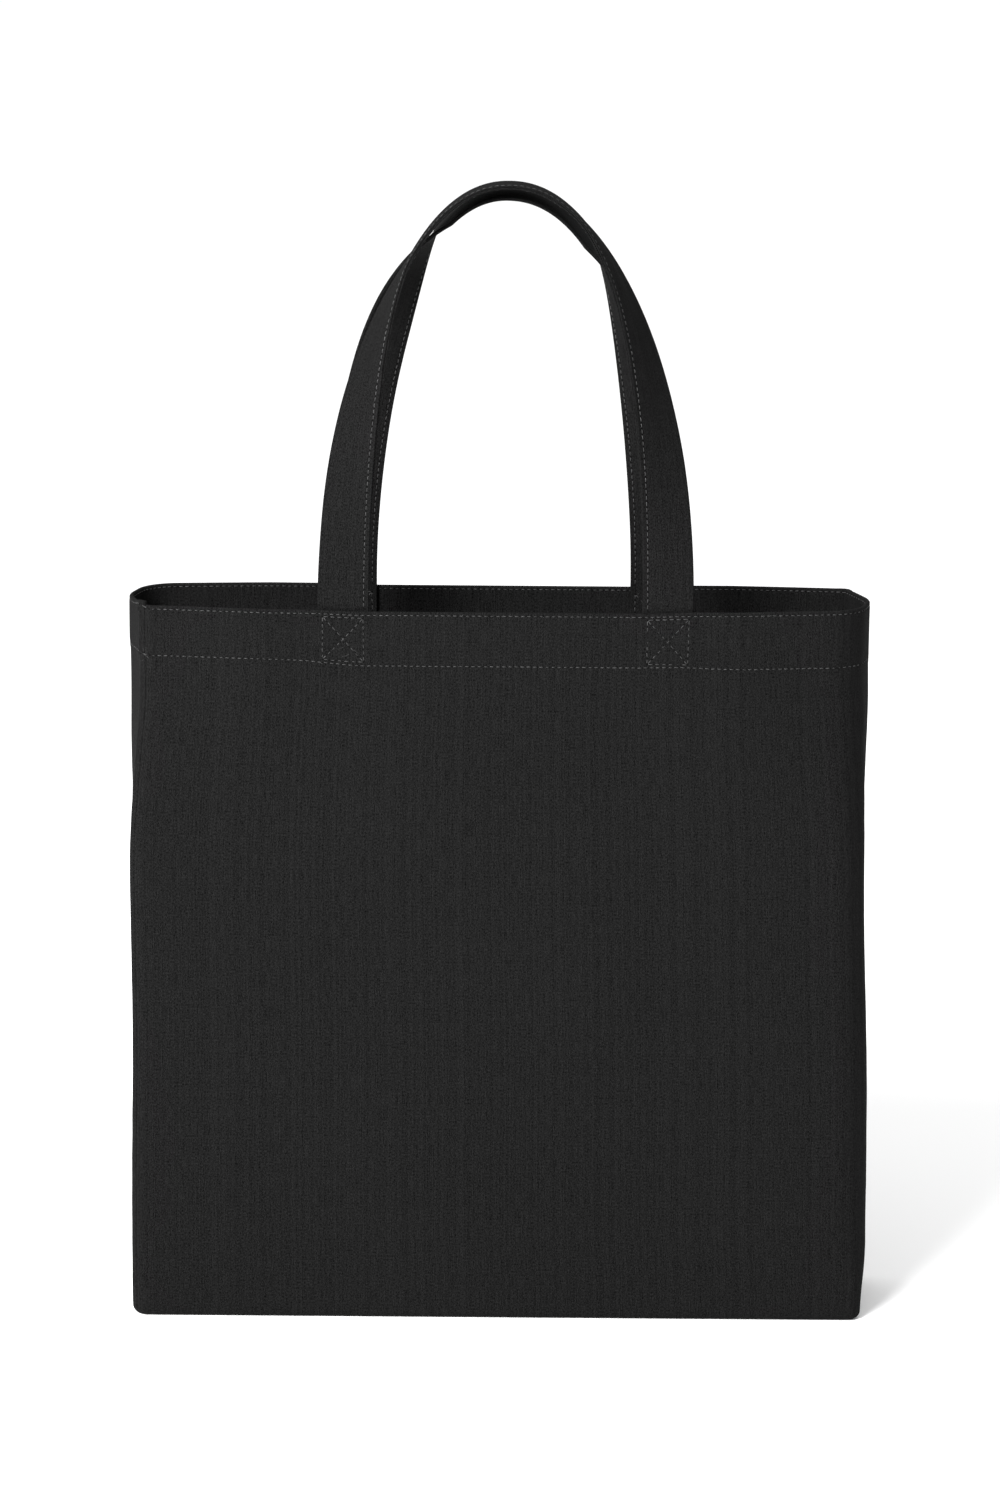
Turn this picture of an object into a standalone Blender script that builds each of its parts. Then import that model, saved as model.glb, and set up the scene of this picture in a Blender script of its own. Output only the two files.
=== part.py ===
"""Canvas tote bag, standing on its flat bottom with both handles up.

Two equal panels make the body. Each is one face, the side next to it and half of the bottom, so the
front panel goes round the right side and the back panel round the left side. They meet at a seam on
the front left corner, one on the back right corner, a seam along the bottom's middle and a boxed
corner seam at each end of the bottom. The back panel is the front panel turned half round. The hem is
folded inwards, and the ends of both straps are sewn inside it.

Units are metres, +Z is up, -Y is the front, and the origin is the middle of the bottom.
"""

import math

import bmesh
import bpy
import numpy as np

MM = 0.001
ARC_STEPS = 8

# Body
BODY_WIDTH = 383 * MM
BODY_DEPTH = 74 * MM
BODY_HEIGHT = 381 * MM
ROUND_CORNER_RADIUS = 16 * MM
SEAM_CORNER_RADIUS = 8 * MM
BOTTOM_EDGE_RADIUS = 4 * MM
CANVAS = 0.8 * MM
GAP = 0.3 * MM

# Mouth, whose outline is flat where the straps are sewn on
MOUTH_DEPTH = 76 * MM
MOUTH_FLAT_HALF = 120 * MM
MOUTH_ROUND_CORNER = (184 * MM, 31 * MM)
MOUTH_SEAM_CORNER = (182 * MM, 31 * MM)
MOUTH_SIDE = 192 * MM
MOUTH_ROUND_RADIUS = 15 * MM
MOUTH_SEAM_RADIUS = 1.5 * MM
MOUTH_SLOPE_RADIUS = 60 * MM
MOUTH_BLEND_HEIGHT = 110 * MM

# Hem, three plies of canvas
HEM_DEPTH = 29 * MM
HEM_THICK = 2.1 * MM
HEM_EDGE = 0.5 * MM
EDGE_STITCH_DROP = 1.8 * MM
HEM_STITCH_DROP = 28 * MM

# Straps, four plies of canvas
STRAP_WIDTH = 26 * MM
STRAP_THICK = 2.1 * MM
STRAP_END = 26 * MM
STRAP_STITCH_INSET = 2.5 * MM
FREE_START = 0.5 * MM
FREE_STITCH_START = 0.03

# Threads
THREAD = 0.3 * MM
THREAD_ROW = 0.5 * MM
BOX_WIDTH = 21 * MM
BOX_TOP_DROP = 3.2 * MM
BOX_BOTTOM_DROP = 26.4 * MM
BOX_THREAD = 0.6 * MM

# Seam allowances bound by overlock thread, on the inside
ALLOWANCE_WIDTH = 9 * MM
ALLOWANCE_THICK = 1.8 * MM
ALLOWANCE_START = 1 * MM
ALLOWANCE_GAP = 1 * MM
BOTTOM_ALLOWANCE_END = 173.5 * MM
CORNER_ALLOWANCE = (174.5 * MM, 183.5 * MM)
CORNER_ALLOWANCE_HALF = 24 * MM

STRAP_Y = -MOUTH_DEPTH / 2 + HEM_THICK + GAP + STRAP_THICK / 2

# Each handle's own shape. Its arch is a superellipse, with a power for each side. It leans towards
# the other handle by a power of its height. Each leg twists by a quarter turn up to a share of its
# height, by a power too, and then on to top_turn quarter turns.
FRONT_HANDLE = {
    "place": "front",
    "side": -1,
    "legs": (-80.5 * MM, 85 * MM),
    "rise": 210.8 * MM,
    "arches": (2.2, 2.15),
    "lean": 0.85,
    "apex_offset": 6.2 * MM,
    "twists": ((0.815, 1.35), (0.905, 1.2)),
    "top_turn": 1.0,
}
BACK_HANDLE = {
    "place": "back",
    "side": 1,
    "legs": (-78 * MM, 80.5 * MM),
    "rise": 206 * MM,
    "arches": (2.1, 2.15),
    "lean": 3.9,
    "apex_offset": 6.5 * MM,
    "twists": ((0.88, 3.4), (0.825, 2.1)),
    "top_turn": 1.12,
}

HALF_TURN = np.array([-1.0, -1.0])


# Outlines


def filleted(corners, radii):
    """A fine polyline through corners, with an arc of ARC_STEPS steps in each inner corner."""
    line = [np.array(corners[0])]
    for before, at, after, radius in zip(corners, corners[1:], corners[2:], radii):
        before, at, after = np.array(before), np.array(at), np.array(after)
        coming = (at - before) / np.linalg.norm(at - before)
        going = (after - at) / np.linalg.norm(after - at)
        turn = math.atan2(coming[0] * going[1] - coming[1] * going[0], coming @ going)
        start = at - coming * radius * math.tan(abs(turn) / 2)
        centre = start + np.sign(turn) * radius * np.array([-coming[1], coming[0]])
        for step in range(ARC_STEPS + 1):
            angle = turn * step / ARC_STEPS
            spoke = start - centre
            turned = [
                spoke[0] * math.cos(angle) - spoke[1] * math.sin(angle),
                spoke[0] * math.sin(angle) + spoke[1] * math.cos(angle),
            ]
            line.append(centre + np.array(turned))
    line.append(np.array(corners[-1]))
    return np.array(line)


def arc_middle(corner):
    """The index of the middle of an inner corner's arc in what filleted returns."""
    return 1 + (ARC_STEPS + 1) * corner + ARC_STEPS // 2


def lengths_along(line):
    """How far along a polyline each of its points is."""
    steps = np.linalg.norm(np.diff(line, axis=0), axis=1)
    return np.concatenate([[0], np.cumsum(steps)])


def points_at(line, distances):
    """Points of a polyline at the given distances along it."""
    along = lengths_along(line)
    return np.stack([np.interp(distances, along, line[:, k]) for k in (0, 1)], axis=1)


def column_shares():
    """Shares of a panel's outline: fine at the seams and round the side, coarse along the face."""
    left = np.linspace(0, 0.06, 9)
    wall = np.linspace(0.06, 0.78, 15)
    right = np.linspace(0.78, 1, 23)
    return np.concatenate([left, wall[1:], right[1:]])


def right_half(share):
    """The outline from the front's middle round the right side to the back's middle, and the right
    seam's distance along it. share is 0 low down and 1 at the mouth."""
    (round_x, round_y), (seam_x, seam_y) = MOUTH_ROUND_CORNER, MOUTH_SEAM_CORNER
    low_x, low_y = BODY_WIDTH / 2, BODY_DEPTH / 2
    deep, flat = MOUTH_DEPTH / 2, MOUTH_FLAT_HALF
    low = [(0, -low_y), (flat, -low_y), (low_x, -low_y), (low_x, 0)]
    low += [(low_x, low_y), (flat, low_y), (0, low_y)]
    high = [(0, -deep), (flat, -deep), (round_x, -round_y), (MOUTH_SIDE, 0)]
    high += [(seam_x, seam_y), (flat, deep), (0, deep)]
    corners = np.array(low) * (1 - share) + np.array(high) * share
    round_radius = ROUND_CORNER_RADIUS * (1 - share) + MOUTH_ROUND_RADIUS * share
    seam_radius = SEAM_CORNER_RADIUS * (1 - share) + MOUTH_SEAM_RADIUS * share
    slope, side = MOUTH_SLOPE_RADIUS, 2 * MOUTH_ROUND_RADIUS
    line = filleted(corners, [slope, round_radius, side, seam_radius, slope])
    return line, lengths_along(line)[arc_middle(3)]


def mouth_share(height):
    """0 where the outline is the lower one, 1 from the hem up."""
    top = BODY_HEIGHT - HEM_DEPTH
    share = min(max((height - top + MOUTH_BLEND_HEIGHT) / MOUTH_BLEND_HEIGHT, 0), 1)
    return share * share * (3 - 2 * share)


def panel_outline(height):
    """The front panel's outline at a height, from the left seam to the right seam."""
    line, seam = right_half(mouth_share(height))
    half_length = lengths_along(line)[-1]
    whole = np.concatenate([-line[:-1], line])
    return points_at(whole, seam + half_length * column_shares())


def half_outline(height):
    """The outer face's outline at a height, and its inward directions, mitred at both seams."""
    points = panel_outline(height)
    runs = np.diff(points, axis=0)
    runs /= np.linalg.norm(runs, axis=1)[:, None]
    sides = np.stack([-runs[:, 1], runs[:, 0]], axis=1)
    before = np.concatenate([-sides[-1:], sides])
    after = np.concatenate([sides, -sides[:1]])
    inward = (before + after) / (1 + (before * after).sum(1))[:, None]
    return points, inward, runs


def inset_outline(height, inset, seam_gap=0.0):
    """The half outline at a height moved inwards, ending half of seam_gap short of each seam."""
    points, inward, runs = half_outline(height)
    points = points + inward * inset
    if seam_gap:
        for end, run in ((0, runs[0]), (-1, -runs[-1])):
            mitre = inward[end] / np.linalg.norm(inward[end])
            across = abs(run[0] * mitre[1] - run[1] * mitre[0])
            points[end] = points[end] + run * seam_gap / 2 / across
    return np.column_stack([points, np.full(len(points), height)])


# Mesh helpers


def material(name, grey, roughness):
    found = bpy.data.materials.get(name) or bpy.data.materials.new(name)
    found.use_nodes = True
    shader = found.node_tree.nodes["Principled BSDF"]
    shader.inputs["Base Color"].default_value = (grey, grey, grey * 1.03, 1)
    shader.inputs["Roughness"].default_value = roughness
    shader.inputs["Metallic"].default_value = 0.0
    return found


def canvas():
    return material("black_canvas", 0.02, 0.9)


def thread():
    return material("black_thread", 0.05, 0.6)


def make_object(name, points, faces, surface, smooth=True):
    """One object from points and faces, with its faces turned outwards."""
    mesh = bpy.data.meshes.new(name)
    mesh.from_pydata([tuple(p) for p in points], [], faces)
    work = bmesh.new()
    work.from_mesh(mesh)
    bmesh.ops.recalc_face_normals(work, faces=work.faces)
    work.to_mesh(mesh)
    work.free()
    if smooth:
        mesh.shade_smooth()
        mesh.set_sharp_from_angle(angle=math.radians(35))
    mesh.materials.append(surface)
    made = bpy.data.objects.new(name, mesh)
    bpy.context.scene.collection.objects.link(made)
    return made


def half_turned(source, name):
    """A copy of an object, turned half round the vertical axis."""
    made = bpy.data.objects.new(name, source.data)
    made.rotation_euler = (0, 0, math.pi)
    bpy.context.scene.collection.objects.link(made)
    return made


def grid_faces(rows, columns, start=0):
    """Quads of a grid of points stored row by row."""
    return [
        (
            start + r * columns + c,
            start + r * columns + c + 1,
            start + (r + 1) * columns + c + 1,
            start + (r + 1) * columns + c,
        )
        for r in range(rows - 1)
        for c in range(columns - 1)
    ]


def shell(outer, inner, floor_end=None):
    """Points and faces of a closed skin between two grids of the same size.

    With floor_end, a flat floor joins the first row up to where that row reaches floor_end's y. It
    ends along the line from there to floor_end, which is a point (x, y)."""
    outer, inner = np.array(outer), np.array(inner)
    rows, columns = outer.shape[:2]
    last = 0
    if floor_end is not None:
        last = int(np.flatnonzero(outer[0, :, 1] < floor_end[1])[-1])
        outer[0, last, 1] = inner[0, last, 1] = floor_end[1]
    points = np.concatenate([outer.reshape(-1, 3), inner.reshape(-1, 3)])
    half = rows * columns
    faces = grid_faces(rows, columns) + grid_faces(rows, columns, half)
    for r in range(rows - 1):
        for c in (0, columns - 1):
            a, b = r * columns + c, (r + 1) * columns + c
            faces.append((a, b, b + half, a + half))
    top = (rows - 1) * columns
    for c in range(columns - 1):
        faces.append((top + c, top + c + 1, top + c + 1 + half, top + c + half))
    if floor_end is not None:
        ends = [(*floor_end, grid[0, 0, 2]) for grid in (outer, inner)]
        points = np.concatenate([points, ends])
        low, high = 2 * half, 2 * half + 1
        faces.append((*range(last + 1), low))
        faces.append((*range(half, half + last + 1), high))
        faces.append((last, low, high, half + last))
        faces.append((low, 0, half, high))
    for c in range(last, columns - 1):
        faces.append((c, c + 1, c + 1 + half, c + half))
    return points, faces


def swept(sections, closed=False):
    """Points and faces of a bar through equal sections, capped unless it is closed."""
    sections = np.array(sections)
    count, sides = sections.shape[:2]
    faces = []
    for k in range(count if closed else count - 1):
        this, following = k * sides, (k + 1) % count * sides
        for s in range(sides):
            t = (s + 1) % sides
            faces.append((this + s, this + t, following + t, following + s))
    if not closed:
        faces.append(tuple(range(sides)))
        faces.append(tuple(range((count - 1) * sides, count * sides)))
    return sections.reshape(-1, 3), faces


def box(name, low, high, surface):
    """A plain block between two corners."""
    sections = [
        [(x, low[1], low[2]), (x, high[1], low[2]), (x, high[1], high[2]), (x, low[1], high[2])]
        for x in (low[0], high[0])
    ]
    return make_object(name, *swept(sections), surface, smooth=False)


# Body


def wall_heights():
    """Row heights from the bottom's rounded edge to the hem's lower edge."""
    plain_top = BODY_HEIGHT - HEM_DEPTH - MOUTH_BLEND_HEIGHT
    plain = np.linspace(BOTTOM_EDGE_RADIUS, plain_top, 4)
    blending = np.linspace(plain_top, BODY_HEIGHT - HEM_DEPTH - HEM_EDGE, 9)
    return np.concatenate([plain[1:], blending[1:]])


def make_panels():
    """Both panels: one face, the side next to it, half of the bottom, and the folded hem."""
    outer, inner = [], []
    for step in range(4):
        angle = math.pi / 2 * step / 3
        for rows, radius in ((outer, BOTTOM_EDGE_RADIUS), (inner, BOTTOM_EDGE_RADIUS - CANVAS)):
            height = BOTTOM_EDGE_RADIUS - radius * math.cos(angle)
            inset = BOTTOM_EDGE_RADIUS - radius * math.sin(angle)
            rows.append(inset_outline(height, inset, GAP))
    for height in wall_heights():
        outer.append(inset_outline(height, 0, GAP))
        inner.append(inset_outline(height, CANVAS, GAP))
    hem_low, hem_high = BODY_HEIGHT - HEM_DEPTH, BODY_HEIGHT - HEM_EDGE
    for height in (hem_low, (hem_low + hem_high) / 2, hem_high):
        outer.append(inset_outline(height, 0, GAP))
        inner.append(inset_outline(height, HEM_THICK, GAP))
    outer.append(inset_outline(BODY_HEIGHT, HEM_EDGE, GAP))
    inner.append(inset_outline(BODY_HEIGHT, HEM_THICK - HEM_EDGE, GAP))
    floor_end = (-BODY_WIDTH / 2 + BOTTOM_EDGE_RADIUS + GAP, -GAP / 2)
    front = make_object("front_panel", *shell(outer, inner, floor_end), canvas())
    half_turned(front, "back_panel")


def make_mouth_row(name, drop):
    """A row of stitches around the whole mouth, as one thin ring just off the cloth."""
    height = BODY_HEIGHT - drop
    rings = []
    for inset, rise in ((-GAP, -0.5), (-GAP - THREAD, -0.5), (-GAP - THREAD, 0.5), (-GAP, 0.5)):
        half = inset_outline(height + rise * THREAD_ROW, inset)[:-1]
        turned = half.copy()
        turned[:, :2] *= HALF_TURN
        rings.append(np.concatenate([half, turned]))
    sections = np.stack(rings, axis=1)
    make_object(name, *swept(sections, closed=True), thread(), smooth=False)


def make_side_seams():
    """The allowances of both side seams, laid against the inside next to the seam."""
    grids = []
    low = BOTTOM_EDGE_RADIUS + ALLOWANCE_THICK
    high = BODY_HEIGHT - HEM_DEPTH - 2 * GAP - HEM_EDGE
    for inset in (CANVAS + ALLOWANCE_GAP, CANVAS + ALLOWANCE_GAP + ALLOWANCE_THICK):
        rows = []
        for height in np.linspace(low, high, 9):
            edges = np.linspace(ALLOWANCE_START, ALLOWANCE_START + ALLOWANCE_WIDTH, 4)
            strip = points_at(inset_outline(height, inset)[:, :2], edges)
            rows.append(np.column_stack([strip, np.full(len(strip), height)]))
        grids.append(rows)
    left = make_object("left_side_seam_overlock", *shell(*grids), thread())
    half_turned(left, "right_side_seam_overlock")


def make_bottom_seams():
    """The allowances of the bottom seam and of the two boxed corners, laid on the floor."""
    low, high = CANVAS + GAP, CANVAS + GAP + ALLOWANCE_THICK
    end, near = BOTTOM_ALLOWANCE_END, ALLOWANCE_START
    box(
        "bottom_seam_overlock",
        (-end, near, low),
        (end, near + ALLOWANCE_WIDTH, high),
        thread(),
    )
    inner, outer = CORNER_ALLOWANCE
    deep = CORNER_ALLOWANCE_HALF
    box("left_corner_seam_overlock", (-outer, -deep, low), (-inner, deep, high), thread())
    box("right_corner_seam_overlock", (inner, -deep, low), (outer, deep, high), thread())


# Strap ends and their box stitching


def make_strap_end(name, side, centre):
    """The sewn end of a strap, inside the hem. side is -1 at the front and 1 at the back."""
    outer = side * (-STRAP_Y + STRAP_THICK / 2)
    inner = side * (-STRAP_Y - STRAP_THICK / 2)
    low = (centre - STRAP_WIDTH / 2, min(outer, inner), BODY_HEIGHT - STRAP_END)
    high = (centre + STRAP_WIDTH / 2, max(outer, inner), BODY_HEIGHT)
    box(name, low, high, canvas())


def box_stitch_plan():
    """The stitched square and its two diagonals: points, and faces without the four gaps."""
    wide = BOX_WIDTH / 2
    tall = (BOX_BOTTOM_DROP - BOX_TOP_DROP) / 2
    edge = BOX_THREAD
    clear = edge * 1.3
    corners = [(-wide, -tall), (wide, -tall), (wide, tall), (-wide, tall)]
    gaps = []
    for k in range(4):
        a, b = np.array(corners[k]), np.array(corners[(k + 1) % 4])
        middle = (a + b) / 2
        along = (b - a) / np.linalg.norm(b - a)
        inwards = -middle / np.linalg.norm(middle)
        gaps.append([a + along * 2 * clear + inwards * edge, b - along * 2 * clear + inwards * edge])
        gaps[k].append(-inwards * clear)
    points = corners + [tuple(p) for gap in gaps for p in gap]
    faces = [tuple(4 + 3 * k + 2 for k in range(4))]
    for k in range(4):
        before = (k + 3) % 4
        first = 4 + 3 * k
        faces.append((k, (k + 1) % 4, first + 1, first))
        faces.append((k, first, first + 2, 4 + 3 * before + 2, 4 + 3 * before + 1))
    return points, faces


def make_box_stitch(name, side, centre):
    """A stitched box with a cross on the outside of the hem, over a strap end."""
    flat, flat_faces = box_stitch_plan()
    middle = BODY_HEIGHT - (BOX_TOP_DROP + BOX_BOTTOM_DROP) / 2
    count = len(flat)
    points = []
    for off in (GAP, GAP + THREAD_ROW):
        y = side * (MOUTH_DEPTH / 2 + off)
        points += [(centre + x, y, middle + z) for x, z in flat]
    faces = flat_faces + [tuple(i + count for i in face) for face in flat_faces]
    loops = [[0, 1, 2, 3]] + [[4 + 3 * k, 5 + 3 * k, 6 + 3 * k] for k in range(4)]
    for loop in loops:
        for a, b in zip(loop, loop[1:] + loop[:1]):
            faces.append((a, b, b + count, a + count))
    make_object(name, points, faces, thread(), smooth=False)


# Handles


def arch(handle):
    """Centre points of a handle's arch as (across, up) pairs, evenly spaced along it."""
    left, right = handle["legs"]
    line = []
    for angle in np.linspace(0, math.pi, 241):
        power = 2 / handle["arches"][0 if angle < math.pi / 2 else 1]
        across = -math.copysign(abs(math.cos(angle)) ** power, math.cos(angle))
        x = (left + right) / 2 + (right - left) / 2 * across
        line.append((x, handle["rise"] * math.sin(angle) ** power))
    line = np.array(line)
    return points_at(line, np.linspace(0, lengths_along(line)[-1], 61))


def strap_frames(handle):
    """Centre, width direction and face direction of the strap at each point of its arch.

    The strap faces forwards where it leaves the hem. It turns on its way up, so that its inner
    edge points away from the other handle and its outer edge rests over it at the top."""
    frames = []
    flat = arch(handle)
    foot, apex = -STRAP_Y, handle["apex_offset"]
    top = int(np.argmax(flat[:, 1]))
    for k, (across, up) in enumerate(flat):
        share = up / handle["rise"]
        lean = foot + (apex - foot) * share ** handle["lean"]
        near, far = flat[max(k - 1, 0)], flat[min(k + 1, len(flat) - 1)]
        run = (far - near) / np.linalg.norm(far - near)
        along = np.array([run[0], 0, run[1]])
        outwards = np.array([-run[1], 0, run[0]])
        towards_other = np.array([0, -handle["side"], 0])
        full, power = handle["twists"][0 if k <= top else 1]
        turn = math.pi / 2 * min(handle["top_turn"], (share / full) ** power)
        width = outwards * math.cos(turn) + towards_other * math.sin(turn)
        face = np.cross(width, along)
        centre = np.array([across, handle["side"] * lean, BODY_HEIGHT + FREE_START + up])
        frames.append((centre, width, face))
    return frames


def make_handle(handle):
    """The free loop of a strap, with the row of stitches along its inner edge."""
    name = handle["place"] + "_handle"
    frames = strap_frames(handle)
    half, thick = STRAP_WIDTH / 2, STRAP_THICK / 2
    sections = [
        [
            centre + width * half * a + face * thick * b
            for a, b in ((-1, -1), (1, -1), (1, 1), (-1, 1))
        ]
        for centre, width, face in frames
    ]
    make_object(name, *swept(sections), canvas())
    row = -(half - STRAP_STITCH_INSET)
    out = thick + 2 * GAP
    first = math.ceil(FREE_STITCH_START * (len(frames) - 1))
    sections = [
        [
            centre + width * (row + THREAD_ROW / 2 * a) + face * handle["side"] * (out + THREAD * b)
            for a, b in ((-1, 0), (1, 0), (1, 1), (-1, 1))
        ]
        for centre, width, face in frames[first : len(frames) - first]
    ]
    make_object(name + "_edge_stitch", *swept(sections), thread())


def build():
    for old in list(bpy.data.objects):
        bpy.data.objects.remove(old)
    make_panels()
    make_mouth_row("mouth_edge_stitch", EDGE_STITCH_DROP)
    make_mouth_row("hem_stitch", HEM_STITCH_DROP)
    make_side_seams()
    make_bottom_seams()
    for handle in (FRONT_HANDLE, BACK_HANDLE):
        place, side = handle["place"], handle["side"]
        for hand, centre in zip(("left", "right"), handle["legs"]):
            make_strap_end(f"{place}_{hand}_handle_end", side, centre)
            make_box_stitch(f"{place}_{hand}_box_stitch", side, centre)
        make_handle(handle)


build()
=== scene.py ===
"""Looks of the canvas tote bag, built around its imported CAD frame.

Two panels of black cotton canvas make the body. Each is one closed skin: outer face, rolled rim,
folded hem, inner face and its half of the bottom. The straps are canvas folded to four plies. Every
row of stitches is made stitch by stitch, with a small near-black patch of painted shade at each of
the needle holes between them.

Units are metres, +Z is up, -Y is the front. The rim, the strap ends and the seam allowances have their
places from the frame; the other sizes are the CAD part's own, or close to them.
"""

import functools
import math

import bmesh
import bpy
import numpy as np
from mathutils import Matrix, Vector


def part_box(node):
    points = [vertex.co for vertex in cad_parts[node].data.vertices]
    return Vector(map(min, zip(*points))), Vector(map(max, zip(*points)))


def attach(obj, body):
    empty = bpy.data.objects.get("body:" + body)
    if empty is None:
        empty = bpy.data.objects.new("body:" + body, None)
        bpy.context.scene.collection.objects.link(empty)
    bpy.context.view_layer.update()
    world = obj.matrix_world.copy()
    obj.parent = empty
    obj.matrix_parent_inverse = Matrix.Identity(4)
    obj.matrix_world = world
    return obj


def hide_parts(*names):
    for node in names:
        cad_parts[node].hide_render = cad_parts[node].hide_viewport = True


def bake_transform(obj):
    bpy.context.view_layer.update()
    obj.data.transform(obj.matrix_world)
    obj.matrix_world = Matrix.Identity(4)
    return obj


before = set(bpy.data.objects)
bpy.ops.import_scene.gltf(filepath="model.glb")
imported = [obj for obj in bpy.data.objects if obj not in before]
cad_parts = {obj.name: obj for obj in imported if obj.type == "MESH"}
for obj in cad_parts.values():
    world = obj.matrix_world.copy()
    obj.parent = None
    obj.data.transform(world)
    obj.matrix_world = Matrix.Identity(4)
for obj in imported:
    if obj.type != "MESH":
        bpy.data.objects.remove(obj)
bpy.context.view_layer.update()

MM = 0.001
WEAVE_UV = "Weave"

# Sizes read from the frame
panel_low, panel_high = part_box("front_panel")
BODY_HEIGHT = panel_high.z
MOUTH_HALF_DEPTH = -panel_low.y

# Body outline: the CAD part's construction, with the corner radii of the settled cloth
HALF_WIDTH = 191.5 * MM
HALF_DEPTH = 37 * MM
ROUND_CORNER_RADIUS = 16 * MM
SEAM_CORNER_RADIUS = 8 * MM
BOTTOM_EDGE_RADIUS = 4 * MM
BOTTOM_CORNER_RADIUS = 7 * MM
MOUTH_FLAT_HALF = 120 * MM
MOUTH_ROUND_CORNER = (184 * MM, 31 * MM)
MOUTH_SEAM_CORNER = (182 * MM, 31 * MM)
MOUTH_SIDE = 192 * MM
MOUTH_ROUND_RADIUS = 22 * MM
MOUTH_SIDE_RADIUS = 30 * MM
MOUTH_SEAM_RADII = {1: 10 * MM, -1: 1.5 * MM}  # front left seam, back right seam
MOUTH_SLOPE_RADIUS = 60 * MM
MOUTH_BLEND_HEIGHT = 110 * MM
BOTTOM_CORNER_HEIGHTS = (8 * MM, 60 * MM)
ARC_STEPS = 16

# Cloth
PLY = 0.8 * MM
HEM_THICK = 2.1 * MM
HEM_DEPTH = 29 * MM
HEM_EDGE = BODY_HEIGHT - HEM_DEPTH
EDGE_ROW_DROP = 1.8 * MM
HEM_ROW_DROP = 28 * MM
HEM_ROW = BODY_HEIGHT - HEM_ROW_DROP
SEAM_ROLL = 0.8 * MM
SEAM_GAP = 0.2 * MM
RIM_RADIUS = 1.05 * MM
RIM_STEPS = 8
ROLL_STEPS = 8
FLOOR_STEPS = 10
STITCH_PITCH = 3.3 * MM
STITCHES_PER_PANEL = 136
COLUMNS_PER_STITCH = 3

# Seam allowances
ALLOWANCE_WIDTH = 9 * MM
ALLOWANCE_START = 1 * MM
ALLOWANCE_GAP = 1 * MM
OVERLOCK_PITCH = 2.6 * MM
OVERLOCK_REACH = 5 * MM
OVERLOCK_RADIUS = 0.13 * MM

# Straps
STRAP_HALF = 13 * MM
STRAP_THICK = 2.1 * MM
STRAP_ROW_INSET = 2.5 * MM
STRAP_END = 26 * MM
STITCHES_IN_HEM = 8
STRAP_Y = -MOUTH_HALF_DEPTH + HEM_THICK + 0.3 * MM + STRAP_THICK / 2
FREE_START = 0.5 * MM
BOX_WIDTH = 21 * MM
BOX_TOP_DROP = 3.2 * MM
BOX_BOTTOM_DROP = 26.4 * MM

# Each handle's own arch, lean and twist, close to the CAD part's
FRONT_HANDLE = {
    "place": "front",
    "side": -1,
    "rise": 210.8 * MM,
    "arches": (2.12, 2.15),
    "lean": 0.85,
    "apex_offset": 6.2 * MM,
    "twists": ((0.815, 1.35), (0.905, 1.2)),
    "top_turn": 1.0,
}
BACK_HANDLE = {
    "place": "back",
    "side": 1,
    "rise": 206 * MM,
    "arches": (2.04, 2.15),
    "lean": 3.9,
    "apex_offset": 6.5 * MM,
    "twists": ((0.9, 3.45), (0.825, 2.1)),
    "top_turn": 1.12,
}

# Thread
THREAD_RADIUS = 0.19 * MM
THREAD_AROUND = 1.2 * MM
THREAD_STRANDS = 2
TWIST_PITCH = 0.45 * MM
THREAD_RING_STEP = 0.5 * MM
BOX_STITCH_SINK = 0.12 * MM

# Camera: its distance, its angle above the level, the height it looks at and how far it is rolled
CAMERA_DISTANCE = 2.4
CAMERA_ELEVATION = math.radians(12.7)
CAMERA_LOOK_HEIGHT = 0.2986
CAMERA_ROLL = math.radians(0.45)
VIEW_HEIGHT = 0.78
SENSOR = 36

# Light: strengths of the tent, and the lamp's place, target, size and power
SIDE_LIGHT = 0.15
TOP_LIGHT = 1.4
KEY_PLACE = Vector((-1.0, -1.55, 1.5))
KEY_TARGET = Vector((0, 0, 0.25))
KEY_SIZE = 1.1
KEY_POWER = 125

# Small curves


def smooth(value, start, end):
    """0 before start, 1 after end, and a smooth step between. Works on arrays."""
    share = np.clip((value - start) / (end - start), 0, 1)
    return share * share * (3 - 2 * share)


def hump(value, middle, width):
    """A bell of height 1 at middle."""
    return np.exp(-(((value - middle) / width) ** 2))


def ripple(across, up, wavelength, seed):
    """A smooth random field of about -1 to 1 with bumps of that wavelength."""
    chance = np.random.default_rng(seed)
    total = 0
    for _ in range(7):
        angle = chance.uniform(0, math.tau)
        length = wavelength * chance.uniform(0.7, 1.6)
        phase = chance.uniform(0, math.tau)
        run = across * math.cos(angle) + up * math.sin(angle)
        total = total + np.sin(run * math.tau / length + phase)
    return total / 3.5


def unit(vectors):
    """The same directions, each with length 1."""
    return vectors / np.linalg.norm(vectors, axis=-1, keepdims=True)


# Outlines


def filleted(corners, radii):
    """A fine polyline through corners, with an arc in each inner corner."""
    line = [np.array(corners[0])]
    for before, at, after, radius in zip(corners, corners[1:], corners[2:], radii):
        before, at, after = np.array(before), np.array(at), np.array(after)
        coming, going = unit(at - before), unit(after - at)
        turn = math.atan2(coming[0] * going[1] - coming[1] * going[0], coming @ going)
        start = at - coming * radius * math.tan(abs(turn) / 2)
        centre = start + np.sign(turn) * radius * np.array([-coming[1], coming[0]])
        spoke = start - centre
        for step in range(ARC_STEPS + 1):
            angle = turn * step / ARC_STEPS
            across = spoke[0] * math.cos(angle) - spoke[1] * math.sin(angle)
            up = spoke[0] * math.sin(angle) + spoke[1] * math.cos(angle)
            line.append(centre + np.array([across, up]))
    line.append(np.array(corners[-1]))
    return np.array(line)


def lengths_along(line):
    steps = np.linalg.norm(np.diff(line, axis=0), axis=1)
    return np.concatenate([[0], np.cumsum(steps)])


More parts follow.
